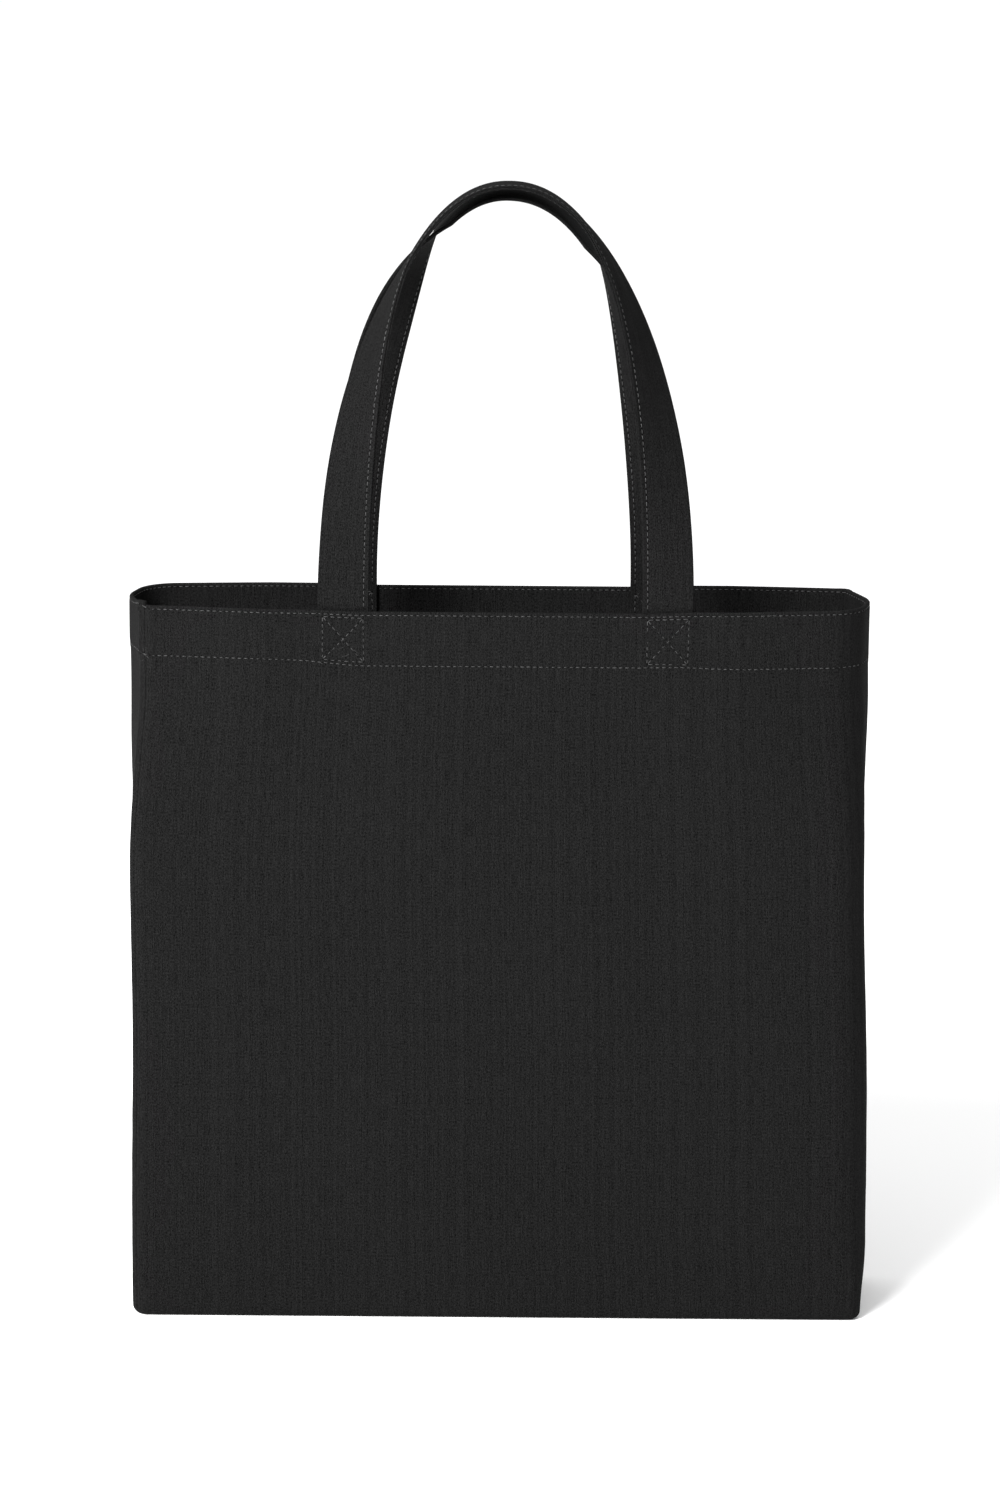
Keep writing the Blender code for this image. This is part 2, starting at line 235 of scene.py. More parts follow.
def points_at(line, distances):
    along = lengths_along(line)
    columns = [np.interp(distances, along, line[:, k]) for k in range(line.shape[1])]
    return np.stack(columns, axis=1)


def right_half(height, mouth_seam_radius):
    """The outline at a height from the front's middle round the right side to the back's middle, and
    the right seam's distance along it."""
    share = mouth_share(height)
    (round_x, round_y), (seam_x, seam_y) = MOUTH_ROUND_CORNER, MOUTH_SEAM_CORNER
    low_x, low_y, deep, flat = HALF_WIDTH, HALF_DEPTH, MOUTH_HALF_DEPTH, MOUTH_FLAT_HALF
    low = [(0, -low_y), (flat, -low_y), (low_x, -low_y), (low_x, 0)]
    low += [(low_x, low_y), (flat, low_y), (0, low_y)]
    high = [(0, -deep), (flat, -deep), (round_x, -round_y), (MOUTH_SIDE, 0)]
    high += [(seam_x, seam_y), (flat, deep), (0, deep)]
    corners = np.array(low) * (1 - share) + np.array(high) * share
    tight = BOTTOM_CORNER_RADIUS - ROUND_CORNER_RADIUS
    low_radius = ROUND_CORNER_RADIUS + tight * (1 - float(smooth(height, *BOTTOM_CORNER_HEIGHTS)))
    round_radius = low_radius * (1 - share) + MOUTH_ROUND_RADIUS * share
    seam_radius = SEAM_CORNER_RADIUS * (1 - share) + mouth_seam_radius * share
    slope, side = MOUTH_SLOPE_RADIUS, MOUTH_SIDE_RADIUS
    line = filleted(corners, [slope, round_radius, side, seam_radius, slope])
    return line, lengths_along(line)[1 + (ARC_STEPS + 1) * 3 + ARC_STEPS // 2]


def mouth_share(height):
    """0 where the outline is the lower one, 1 from the hem up."""
    return float(smooth(height, HEM_EDGE - MOUTH_BLEND_HEIGHT, HEM_EDGE))


def outline(height, shares, turn):
    """A panel's outline at a height, from its left seam to its right seam, the inward directions
    there, and its length. turn is 1 for the front panel and -1 for the back one, turned half round."""
    start, start_seam = right_half(height, MOUTH_SEAM_RADII[turn])
    end, end_seam = right_half(height, MOUTH_SEAM_RADII[-turn])
    whole = np.concatenate([-start[:-1], end])
    length = lengths_along(start)[-1] + end_seam - start_seam
    distances = start_seam + length * shares
    step = 0.5 * MM
    run = unit(points_at(whole, distances + step) - points_at(whole, distances - step))
    return points_at(whole, distances), np.stack([-run[:, 1], run[:, 0]], axis=1), length


PANEL_LENGTH = outline(BODY_HEIGHT, np.array([0.0]), 1)[2]
PITCH = PANEL_LENGTH / STITCHES_PER_PANEL


# How the cloth sits


def leaned(x, heights):
    """Where x comes to lie on the real bag: the body leans a little and narrows below the hem, and
    its lower right corner and its mouth pull in."""
    sway = (1.6 - 2.3 * smooth(heights, 120 * MM, 250 * MM)) * (1 - smooth(heights, 300 * MM, 352 * MM))
    wider = 1.5 - 3 * smooth(heights, 40 * MM, 250 * MM) + 1.5 * smooth(heights, 250 * MM, 340 * MM)
    corner = 2.4 * (1 - smooth(heights, 2 * MM, 42 * MM)) * smooth(x, 140 * MM, 185 * MM)
    mouth = 0.9 * smooth(np.abs(x), 120 * MM, 185 * MM) * smooth(heights, 320 * MM, 360 * MM)
    return x + (sway + wider * x / HALF_WIDTH - corner - mouth) * MM


class Panel:
    """One body panel: which way round it stands, and how its own cloth lies."""

    def __init__(self, name, turn, seed):
        self.name, self.turn, self.seed = name, turn, seed

    def hem_shift(self, x):
        """How much higher the hem's lower edge is than its plain depth."""
        if self.turn > 0:
            left = 2.2 * (1 - smooth(x, -115 * MM, -68 * MM))
            return (left - 1.5 * smooth(x, 75 * MM, 130 * MM)) * MM
        return (0.5 * ripple(x, 0, 0.2, self.seed) + 3 * smooth(x, 178 * MM, 186 * MM)) * MM

    def settled(self, points, heights):
        """Flat points with their real heights, turned to the panel's side of the bag. The rim sags
        between the straps, and the hem's depth varies. heights is one height, or one for each point."""
        x = points[:, 0]
        reach = np.abs(x)
        rim = -2.4 + 0.8 * smooth(reach, 68 * MM, 100 * MM) + 0.3 * smooth(reach, 100 * MM, 170 * MM)
        if self.turn < 0:
            near_seam = smooth(points[:, 1], 14 * MM, 27 * MM)
            rim = rim + 1.9 * near_seam * smooth(heights, 0.955 * BODY_HEIGHT, BODY_HEIGHT)
        high = smooth(heights, 0.45 * BODY_HEIGHT, HEM_EDGE)
        hem = smooth(heights, HEM_ROW - 60 * MM, HEM_ROW) * (1 - smooth(heights, HEM_ROW, BODY_HEIGHT))
        z = heights + rim * MM * high + self.hem_shift(x) * hem
        turned = points * self.turn
        return np.column_stack([leaned(turned[:, 0], heights), turned[:, 1], z])

    def wave(self, along, height):
        """How far the wall leans inwards as it sags, softly, away from its stiff edges."""
        side_start = PANEL_LENGTH - 2 * HALF_DEPTH
        free = smooth(height, 8 * MM, 90 * MM) * (1 - smooth(height, 0.72 * BODY_HEIGHT, HEM_EDGE))
        ends = smooth(along, 6 * MM, 60 * MM) * (1 - smooth(along, side_start - 60 * MM, side_start))
        broad = 1.1 * ripple(along, height, 0.26, self.seed)
        broad = broad + 0.35 * ripple(along, height, 0.09, self.seed + 1)
        fine = 0.06 * ripple(along, height, 0.022, self.seed + 2)
        return (broad * free * ends + fine * smooth(height, 4 * MM, 20 * MM)) * MM


def seam_roll(along):
    """How far the cloth's edge rolls inwards where it goes into the seams."""
    near = np.minimum(along, PANEL_LENGTH - along) / SEAM_ROLL
    return SEAM_ROLL * (1 - np.sqrt(np.clip(1 - (1 - np.clip(near, 0, 1)) ** 2, 0, 1)))


def seam_bulk(panel, along, height):
    """How far the folded allowances push the cloth outwards next to the upright seams, and the dimple
    in the back panel's rim next to the front left seam."""
    near = np.minimum(along, PANEL_LENGTH - along)
    high = smooth(height, HEM_EDGE - 30 * MM, HEM_EDGE + 4 * MM)
    ridge = (0.25 + 0.5 * high) * hump(near, 3.2 * MM, 2.4 * MM)
    if panel.turn < 0:
        dimple = hump(PANEL_LENGTH - along, 5.5 * MM, 1.5 * MM)
        ridge = ridge - 1.3 * dimple * hump(height, BODY_HEIGHT - 4 * MM, 1.5 * MM)
    return ridge * MM


def row_dip(along, height, drop, width=1.1 * MM):
    """How deep a row of stitches pulls the cloth in, most at the needle holes."""
    holes = 0.7 + 0.3 * np.cos(math.tau * along / PITCH)
    return 0.28 * MM * hump(height, BODY_HEIGHT - drop, width) * holes


def box_corners(centre):
    """The stitched box at a strap end, as nominal (x, height) corners."""
    low, high = BODY_HEIGHT - BOX_BOTTOM_DROP, BODY_HEIGHT - BOX_TOP_DROP
    left, right = centre - BOX_WIDTH / 2, centre + BOX_WIDTH / 2
    return [np.array(c) for c in ((left, low), (right, low), (right, high), (left, high))]


def box_lines(corners):
    """The six stitched lines of a box with a cross."""
    a, b, c, d = corners
    return [(a, b), (b, c), (c, d), (d, a), (a, c), (b, d)]


def box_dip(x, height, legs):
    """How deep the stitched boxes pull the cloth in."""
    deepest = np.zeros(np.broadcast(x, height).shape)
    for centre in legs:
        for start, end in box_lines(box_corners(centre)):
            run = end - start
            share = ((x - start[0]) * run[0] + (height - start[1]) * run[1]) / (run @ run)
            share = np.clip(share, 0, 1)
            off = np.hypot(x - start[0] - share * run[0], height - start[1] - share * run[1])
            deepest = np.maximum(deepest, hump(off, 0, 0.9 * MM))
    return 0.24 * MM * deepest


def leg_bulge(x, height, legs):
    """How far a strap end pushes the hem outwards."""
    total = 0
    inner, outer = 12 * MM, 15 * MM
    for centre in legs:
        wide = smooth(x, centre - outer, centre - inner) * (1 - smooth(x, centre + inner, centre + outer))
        tall = smooth(height, BODY_HEIGHT - 29 * MM, BODY_HEIGHT - 25 * MM)
        total = total + 0.3 * MM * wide * tall
    return total


def leg_middles(place):
    """The middles of a handle's left and right sewn end."""
    boxes = [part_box(f"{place}_{hand}_handle_end") for hand in ("left", "right")]
    return [(low.x + high.x) / 2 for low, high in boxes]


def panel_legs(panel):
    """Where the strap ends are along a panel's own x, before it is turned."""
    place = "front" if panel.turn > 0 else "back"
    return sorted(panel.turn * middle for middle in leg_middles(place))


def outer_inset(panel, along, x, height):
    """How far the outer face is inside the plain outline."""
    hem = smooth(height, HEM_EDGE - 2.5 * MM, HEM_EDGE + 1 * MM)
    inset = panel.wave(along, height) + seam_roll(along) - 0.35 * MM * hem
    inset = inset - seam_bulk(panel, along, height)
    inset = inset + row_dip(along, height, EDGE_ROW_DROP, 0.8 * MM)
    inset = inset + row_dip(along, height, HEM_ROW_DROP)
    pucker = ripple(along, height * 0.3, 7 * MM, panel.seed + 5)
    inset = inset + 0.1 * MM * pucker * hump(height, HEM_ROW, 5 * MM)
    legs = panel_legs(panel)
    return inset + box_dip(x, height, legs) - leg_bulge(x, height, legs)


def inner_inset(panel, along, x, height, thick):
    """How far the inner face is inside the plain outline."""
    inset = panel.wave(along, height) + thick
    inset = inset - 0.7 * row_dip(along, height, EDGE_ROW_DROP, 0.8 * MM)
    return inset - 0.7 * row_dip(along, height, HEM_ROW_DROP)


# Meshes


def add_object(name, data):
    """A new object in the scene."""
    made = bpy.data.objects.new(name, data)
    bpy.context.scene.collection.objects.link(made)
    return made


def make_piece(name, points, faces, uvs, materials, slots=None):
    """One closed mesh piece. uvs holds one (u, v) pair for each face corner, in metres."""
    mesh = bpy.data.meshes.new(name)
    mesh.from_pydata(np.asarray(points).tolist(), [], faces)
    layer = mesh.uv_layers.new(name=WEAVE_UV)
    layer.data.foreach_set("uv", np.asarray(uvs, np.float32).ravel())
    for surface in materials:
        mesh.materials.append(surface)
    if slots is not None:
        mesh.polygons.foreach_set("material_index", np.asarray(slots, np.int32))
    work = bmesh.new()
    work.from_mesh(mesh)
    bmesh.ops.remove_doubles(work, verts=work.verts, dist=1e-7)
    bmesh.ops.recalc_face_normals(work, faces=work.faces)
    work.to_mesh(mesh)
    work.free()
    mesh.shade_smooth()
    mesh.set_sharp_from_angle(angle=math.radians(60))
    return add_object(name, mesh)


def grid_quads(rows, columns, first=0):
    """Quads of a grid of points stored row by row."""
    quads = []
    for r in range(rows - 1):
        for c in range(first + r * columns, first + (r + 1) * columns - 1):
            quads.append((c, c + 1, c + columns + 1, c + columns))
    return quads


def ring_faces(around, distances):
    """Faces and UVs between rings of points along a closed strip, with both ends capped."""
    sides = len(around) - 1
    faces, uvs = [], []
    for k in range(len(distances) - 1):
        for s in range(sides):
            t = (s + 1) % sides
            faces.append((k * sides + s, k * sides + t, (k + 1) * sides + t, (k + 1) * sides + s))
            uvs += [(around[s], distances[k]), (around[s + 1], distances[k])]
            uvs += [(around[s + 1], distances[k + 1]), (around[s], distances[k + 1])]
    for start in (0, (len(distances) - 1) * sides):
        faces.append(tuple(start + s for s in range(sides)))
        uvs += [(around[s], 0.0) for s in range(sides)]
    return faces, uvs


class Skin:
    """Collects points, faces and weave coordinates of one closed skin."""

    def __init__(self):
        self.points, self.marks, self.faces = [], [], []
        self.count = 0

    def grid(self, points, marks):
        """Adds a grid of points with its quads. Returns the grid's point numbers."""
        rows, columns = points.shape[:2]
        numbers = self.count + np.arange(rows * columns).reshape(rows, columns)
        self.points.append(points.reshape(-1, 3))
        self.marks.append(marks.reshape(-1, 2))
        self.faces += grid_quads(rows, columns, self.count)
        self.count += rows * columns
        return numbers

    def face(self, *numbers):
        self.faces.append(tuple(int(number) for number in numbers))

    def strip(self, one, other):
        """Joins two equal runs of point numbers with quads."""
        for k in range(len(one) - 1):
            self.face(one[k], one[k + 1], other[k + 1], other[k])

    def make(self, name, surface):
        points, marks = np.concatenate(self.points), np.concatenate(self.marks)
        uvs = [marks[i] for face in self.faces for i in face]
        return make_piece(name, points, self.faces, uvs, [surface])


def column_distances():
    """Distances of a panel's columns along its outline, closer together at the seams."""
    even = np.arange(STITCHES_PER_PANEL * COLUMNS_PER_STITCH + 1) * PITCH / COLUMNS_PER_STITCH
    edge = np.array([0.12, 0.3, 0.55, 0.85]) * MM
    return np.concatenate([[0], edge, even[1:-1], PANEL_LENGTH - edge[::-1], [PANEL_LENGTH]])


def wall_rows():
    """Heights of the outer face's rows above the rounded bottom edge."""
    low = np.linspace(BOTTOM_EDGE_RADIUS, 40 * MM, 8)
    middle = np.linspace(40 * MM, HEM_EDGE - 6 * MM, 48)
    near = np.arange(HEM_EDGE - 5 * MM, BODY_HEIGHT - 4 * MM, 0.9 * MM)
    top = np.arange(BODY_HEIGHT - 3.6 * MM, BODY_HEIGHT - 1.15 * MM, 0.4 * MM)
    return np.concatenate([low[1:], middle[1:], near, top])


def bottom_roll(radius):
    """Rows of the rounded bottom edge from the floor up, as (height, inset) pairs."""
    angles = [math.pi / 2 * step / ROLL_STEPS for step in range(ROLL_STEPS + 1)]
    edge = BOTTOM_EDGE_RADIUS
    return [(edge - radius * math.cos(angle), edge - radius * math.sin(angle)) for angle in angles]


def panel_grid(panel):
    """All rows of a panel from the bottom edge up outside, over the rim and down inside: the flat
    (x, y) points of each row and its nominal height. Returns its columns' distances along it too."""
    along = column_distances()
    rows = []

    def add(height, inset_at):
        points, inward, _ = outline(height, along / PANEL_LENGTH, panel.turn)
        rows.append((points + inward * inset_at(points[:, 0])[:, None], height))

    def add_inner(heights, thick):
        for height in heights:
            add(height, lambda x: inner_inset(panel, along, x, height, thick))

    for height, inset in bottom_roll(BOTTOM_EDGE_RADIUS):
        add(height, lambda x: inset + seam_roll(along))
    for height in wall_rows():
        add(height, lambda x: outer_inset(panel, along, x, height))
    rim_low = BODY_HEIGHT - RIM_RADIUS
    rim_x = outline(BODY_HEIGHT, along / PANEL_LENGTH, panel.turn)[0][:, 0]
    outer = outer_inset(panel, along, rim_x, rim_low)
    inner = inner_inset(panel, along, rim_x, rim_low, HEM_THICK)
    for step in range(RIM_STEPS + 1):
        angle = math.pi * step / RIM_STEPS
        share = (1 - math.cos(angle)) / 2
        height = BODY_HEIGHT - RIM_RADIUS * (1 - math.sin(angle))
        add(height, lambda x: outer * (1 - share) + inner * share)
    add_inner(np.arange(BODY_HEIGHT - 1.5 * MM, BODY_HEIGHT - 3.6 * MM, -0.4 * MM), HEM_THICK)
    add_inner(np.arange(BODY_HEIGHT - 4.2 * MM, HEM_EDGE + 0.9 * MM, -1.1 * MM), HEM_THICK)
    for drop, thick in ((0.45, 2.08), (0.15, 1.95), (0.0, 1.6), (-0.05, 1.2), (-0.3, 0.85)):
        add_inner([HEM_EDGE + drop * MM], thick * MM)
    add_inner(np.linspace(HEM_EDGE - 2 * MM, 40 * MM, 34), PLY)
    add_inner(np.linspace(40 * MM, BOTTOM_EDGE_RADIUS, 7)[1:-1], PLY)
    for height, inset in bottom_roll(BOTTOM_EDGE_RADIUS - PLY)[::-1]:
        add(height, lambda x: np.full(len(x), inset))
    return along, rows


def make_panel(panel, surface):
    """A body panel as one closed skin."""
    along, rows = panel_grid(panel)
    trimmed = []
    for points, _ in rows:
        # the two panels' edges stop just short of each other
        points[0] += unit(points[1] - points[0]) * SEAM_GAP / 2
        points[-1] += unit(points[-2] - points[-1]) * SEAM_GAP / 2
        trimmed.append(points)
    heights = np.array([height for _, height in rows])
    placed = [panel.settled(points, up) for points, up in zip(trimmed, heights)]
    grid = np.stack(placed)
    steps = np.linalg.norm(np.diff(grid, axis=0), axis=2).mean(axis=1)
    travelled = np.concatenate([[0], np.cumsum(steps)])
    marks = np.stack(np.meshgrid(along, travelled), axis=2)
    skin = Skin()
    numbers = skin.grid(grid, marks)
    join_ends(skin, numbers, heights)
    close_bottom(skin, panel, numbers, trimmed, along)
    return skin.make(panel.name + "_canvas", surface)


def join_ends(skin, numbers, heights):
    """Closes both seam edges between the outer face and the inner face."""
    top = int(np.argmax(heights))
    up, down = slice(0, top + 1), slice(None, top - 1, -1)
    for column in (0, -1):
        zip_up(skin, numbers[up, column], heights[up], numbers[down, column], heights[down])


def zip_up(skin, one, one_heights, other, other_heights):
    """Joins two runs of points that start low and end at the same top point."""
    a = b = 0
    while a < len(one) - 1 or b < len(other) - 1:
        up_one = one_heights[a + 1] if a < len(one) - 1 else math.inf
        up_other = other_heights[b + 1] if b < len(other) - 1 else math.inf
        if up_one <= up_other:
            if one[a + 1] != other[b]:
                skin.face(one[a], one[a + 1], other[b])
            a += 1
        else:
            if other[b + 1] != one[a]:
                skin.face(other[b], one[a], other[b + 1])
            b += 1


def close_bottom(skin, panel, numbers, trimmed, along):
    """Adds the panel's half of the bottom, from the rounded edge to the bottom seam."""
    last = int(np.flatnonzero(trimmed[0][:, 1] < -SEAM_GAP)[-1])
    end_x = HALF_WIDTH - BOTTOM_EDGE_RADIUS
    before_corner = trimmed[0][:, 0] < end_x - ROUND_CORNER_RADIUS + BOTTOM_EDGE_RADIUS
    corner = int(np.flatnonzero(before_corner)[-1])
    part = slice(0, last + 1)
    targets = np.interp(along[part], [along[0], along[corner]], [-end_x, end_x])
    seam = np.column_stack([targets, np.full(last + 1, -SEAM_GAP / 2)])
    length = HALF_DEPTH - BOTTOM_EDGE_RADIUS
    shares = np.arange(1, FLOOR_STEPS + 1) / FLOOR_STEPS
    edges, floors = (numbers[0, part], numbers[-1, part]), []
    for row, height, sag, sign in ((0, 0.0, 0.0, -1), (-1, PLY, 0.1 * MM, 1)):
        points = []
        for share in shares:
            flat = trimmed[row][part] * (1 - share) + seam * share
            up = height + sag * math.sin(share * math.pi)
            points.append(panel.settled(flat, up))
        marks = np.stack(np.meshgrid(along[part], shares * length * sign), axis=2)
        floors.append(skin.grid(np.stack(points), marks))
    for edge, floor in zip(edges, floors):
        skin.strip(edge, floor[0])
    skin.strip(floors[0][-1], floors[1][-1])
    for column in (0, -1):
        one, other = (np.append(edge[column], floor[:, column]) for edge, floor in zip(edges, floors))
        skin.strip(one, other)
    skin.strip(numbers[0, last:], numbers[-1, last:])


# Stitches


def tube(path, normals, radius, sides=6):
    """Rings of a round thread along a path. normals is one direction, or one for each point."""
    run = unit(np.gradient(path, axis=0))
    across = unit(np.cross(run, normals))
    up = np.cross(across, run)
    angles = np.linspace(0, math.tau, sides, endpoint=False)
    spokes = np.cos(angles)[None, :, None] * across[:, None] + np.sin(angles)[None, :, None] * up[:, None]
    return path[:, None] + spokes * np.broadcast_to(radius, len(path))[:, None, None]


class Threads:
    """Collects stitches and the near-black patches of painted shade at their needle holes into one mesh."""

    def __init__(self):
        self.points, self.faces, self.uvs, self.slots = [], [], [], []
        self.count = 0

    def add_rings(self, rings, slot):
        """Adds a bar through rings of points, closed at both ends."""
        number, sides = rings.shape[:2]
        around = np.arange(sides + 1) / sides * THREAD_AROUND
        faces, uvs = ring_faces(around, np.arange(number) * THREAD_RING_STEP)
        self.faces += [tuple(self.count + point for point in face) for face in faces]
        self.uvs += uvs
        self.slots += [slot] * len(faces)
        self.points.append(rings.reshape(-1, 3))
        self.count += number * sides

    def stitch(self, start, end, normal, bulge=0.0):
        """One stitch between two holes: it comes up, lies along the cloth and goes down again."""
        shares = np.array([0.14, 0.26, 0.4, 0.6, 0.74, 0.86])
        lift = np.array([-1.3, 0.0, 0.55, 0.55, 0.0, -1.3]) * THREAD_RADIUS + np.sin(shares * math.pi) * bulge
        path = start + (end - start) * shares[:, None] + normal * lift[:, None]
        radius = THREAD_RADIUS * np.array([0.7, 0.95, 1.05, 1.05, 0.95, 0.7])
        self.add_rings(tube(path, normal, radius), 0)

    def hole_shade(self, place, normal, along):
        """A small near-black lens on the cloth where the needle went through: painted shade, standing in for
        the shadow in the puncture.
        """
        across = np.cross(normal, along)
        angles = np.linspace(0, math.tau, 8, endpoint=False)
        ring = np.cos(angles)[:, None] * along + np.sin(angles)[:, None] * across * 0.8
        levels = ((0.56, -0.12), (0.54, 0.04), (0.26, 0.08))
        rings = [place + ring * wide * MM + normal * rise * MM for wide, rise in levels]
        self.add_rings(np.stack(rings), 1)

    def row(self, places, normals, chance, sunk=0.0):
        """A row of stitches through holes at the given places. sunk is how deep they are pulled in."""
        for k in range(len(places) - 1):
            start, end = places[k], places[k + 1]
            normal = unit(normals[k] + normals[k + 1])
            side = np.cross(normal, end - start)
            off = side * chance.normal(0, 0.03)
            self.stitch(start + off, end - off * 0.5, normal, chance.uniform(-0.1, 0.1) * MM - sunk)
        # a patch of painted shade at each of the needle holes
        for k in range(len(places)):
            run = places[min(k + 1, len(places) - 1)] - places[max(k - 1, 0)]
            self.hole_shade(places[k], normals[k], unit(run))

    def make(self, name):
        # the second material is the painted shade of the needle holes
        surfaces = [thread_material(), hole_shade_material()]
        return make_piece(name, np.concatenate(self.points), self.faces, self.uvs, surfaces, self.slots)


def mouth_places(panel, drop, inside):
    """Needle holes of one panel's part of a row round the mouth, with the cloth's normals."""
    along = np.arange(1, STITCHES_PER_PANEL) * PITCH
    height = BODY_HEIGHT - drop
    points, inward, _ = outline(height, along / PANEL_LENGTH, panel.turn)
    if inside:
        inset = inner_inset(panel, along, points[:, 0], height, HEM_THICK)
    else:
        inset = outer_inset(panel, along, points[:, 0], height)
    flat = points + inward * inset[:, None]
    places = panel.settled(flat, height)
    facing = inward * panel.turn * (1 if inside else -1)
    return places, np.column_stack([facing, np.zeros(len(facing))])


def make_mouth_row(node, drop, panels):
    """A whole row round the mouth, outside and inside."""
    chance = np.random.default_rng(int(drop / MM * 10))
    threads = Threads()
    for inside in (False, True):
        parts = [mouth_places(panel, drop, inside) for panel in panels]
        places, normals = (np.concatenate([*half, half[0][:1]]) for half in zip(*parts))
        threads.row(places, normals, chance)
    finish_piece(threads.make(node + "_thread"), "bag", "thread", node)


def box_places(panel, start, end, y_of):
    """Needle holes along one line of a stitched box."""
    number = max(2, round(float(np.linalg.norm(end - start)) / STITCH_PITCH))
    shares = np.linspace(0, 1, number + 1)
    flat = start + (end - start) * shares[:, None]
    points = np.column_stack([flat[:, 0], y_of(flat[:, 0], flat[:, 1])])
    return panel.settled(points, flat[:, 1])


def make_box_stitch(panel, node, centre):
    """A stitched box with a cross, on the hem outside and on the strap end inside."""
    chance = np.random.default_rng(int(abs(centre) / MM) + 7)
    threads = Threads()

    def outside(x, height):
        along = np.full(len(x), PANEL_LENGTH / 3)
        return -MOUTH_HALF_DEPTH + outer_inset(panel, along, x, height)

    def inside(x, height):
        return np.full(len(x), STRAP_Y + STRAP_THICK / 2 - 0.1 * MM)

    lean = chance.normal(0, 0.25, (4, 2)) * MM
    corners = [corner + shift for corner, shift in zip(box_corners(centre), lean)]
    for y_of, facing in ((outside, -1), (inside, 1)):
        for start, end in box_lines(corners):
            places = box_places(panel, start, end, y_of)
            normals = np.tile([0.0, facing * panel.turn, 0.0], (len(places), 1))
            threads.row(places, normals, chance, BOX_STITCH_SINK)
    finish_piece(threads.make(node + "_thread"), "bag", "thread", node)


# Seam allowances


def allowance_section():
    """Two plies of canvas across their width, with both cut edges at the far side."""
    wide, ply = ALLOWANCE_WIDTH - 0.5 * MM, PLY
    near = [(0, 0), (wide * 0.35, 0), (wide * 0.7, 0), (wide - 0.1 * MM, 0)]
    edge = [(wide, 0.1 * MM), (wide, ply - 0.1 * MM), (wide - 0.3 * MM, ply), (wide, ply + 0.1 * MM)]
    edge.append((wide, 2 * ply - 0.1 * MM))
    far = [(x, 2 * ply) for x, _ in near[::-1]]
    return np.array(near + edge + far)


def side_seam(panel):
    """A function that gives points in an upright seam's allowances, which lie against the wall next
    to the seam: at a height, and at offsets across, through and up."""

    def at(height, offsets):
        along = ALLOWANCE_START + offsets[:, 0]
        flat, inward, _ = outline(height, along / PANEL_LENGTH, panel.turn)
        inset = PLY + ALLOWANCE_GAP + offsets[:, 1]
        points = panel.settled(flat + inward * inset[:, None], height)
        return points + np.array([0, 0, 1]) * offsets[:, 2:]

    return at


def straight_seam(start, along, across):
    """The same for a straight seam along the bottom."""
    turned = np.array([across, (0, 0, 1), along])

    def at(distance, offsets):
        return start + np.array(along) * distance + offsets @ turned

    return at


def lay_allowance(node, spans, at, surface):
    """A seam's allowances and the overlock thread that binds them. at gives points along the seam."""
    start, end = spans
    distances = np.linspace(start, end, max(16, int((end - start) / (4.5 * MM))))
    section = allowance_section()
    lift = 0.15 * MM * (1 + ripple(distances, 0, 30 * MM, len(distances)))
    rows = []
    for distance, up in zip(distances, lift):
        offsets = np.column_stack([section[:, 0], section[:, 1] + up, 0 * section[:, 0]])
        rows.append(at(distance, offsets))
    points = np.array(rows)
    faces, uvs = ring_faces(lengths_along(np.concatenate([section, section[:1]])), distances)
    cloth = make_piece(node + "_canvas", points.reshape(-1, 3), faces, uvs, [surface])
    finish_piece(cloth, "bag", "canvas", node)
    bind_allowance(node, spans, lambda where: np.interp(where, distances, lift), at)


def bind_allowance(node, spans, lift, at):
    """Overlock loops round an allowance's cut edge, and the needle line they start from."""
    start, end = spans
    number = int((end - start) / OVERLOCK_PITCH)
    wide, thick = ALLOWANCE_WIDTH - 0.5 * MM, 2 * PLY
    off = OVERLOCK_RADIUS
    needle = wide - OVERLOCK_REACH
    loop = [(needle, thick + off), (wide - 0.4 * MM, thick + off), (wide + off, thick - 0.2 * MM)]
    loop += [(wide + off, 0.2 * MM), (wide - 0.4 * MM, -off), (needle, -off)]
    rise = np.array([0, 0.45, 0.5, 0.55, 0.6, 1]) * OVERLOCK_PITCH
    chance = np.random.default_rng(number)
    threads = Threads()
    needles = []
    for k in range(1, number - 1):
        where = start + (k + chance.normal(0, 0.05)) * OVERLOCK_PITCH
        up = lift(where)
        path = at(where, np.column_stack([np.array(loop) + [0, up], rise]))
        threads.add_rings(tube(path, path[-1] - path[0], OVERLOCK_RADIUS, 5), 0)
        flat, raised = at(where, np.array([(needle, thick + up, 0), (needle, thick + up + MM, 0)]))
        needles.append((flat, (raised - flat) / MM))
    for (place, normal), (ahead, _) in zip(needles, needles[1:]):
        threads.stitch(place, ahead, normal)
    finish_piece(threads.make(node + "_thread"), "bag", "thread", node)


def make_allowances(panels, surface):
    """The allowances of both upright seams, of the bottom seam and of the two boxed corners."""
    for panel, hand in zip(panels, ("left", "right")):
        node = f"{hand}_side_seam_overlock"
        low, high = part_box(node)
        lay_allowance(node, (low.z, high.z), side_seam(panel), surface)
    node = "bottom_seam_overlock"
    low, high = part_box(node)
    bottom = straight_seam(np.array(low), (1, 0, 0), (0, 1, 0))
    lay_allowance(node, (0, high.x - low.x), bottom, surface)
    for hand, side in (("left", 1), ("right", -1)):
        node = f"{hand}_corner_seam_overlock"
        low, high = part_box(node)
        start = np.array([low.x if side > 0 else high.x, low.y, low.z])
        lay_allowance(node, (0, high.y - low.y), straight_seam(start, (0, 1, 0), (side, 0, 0)), surface)


# Loose fibres


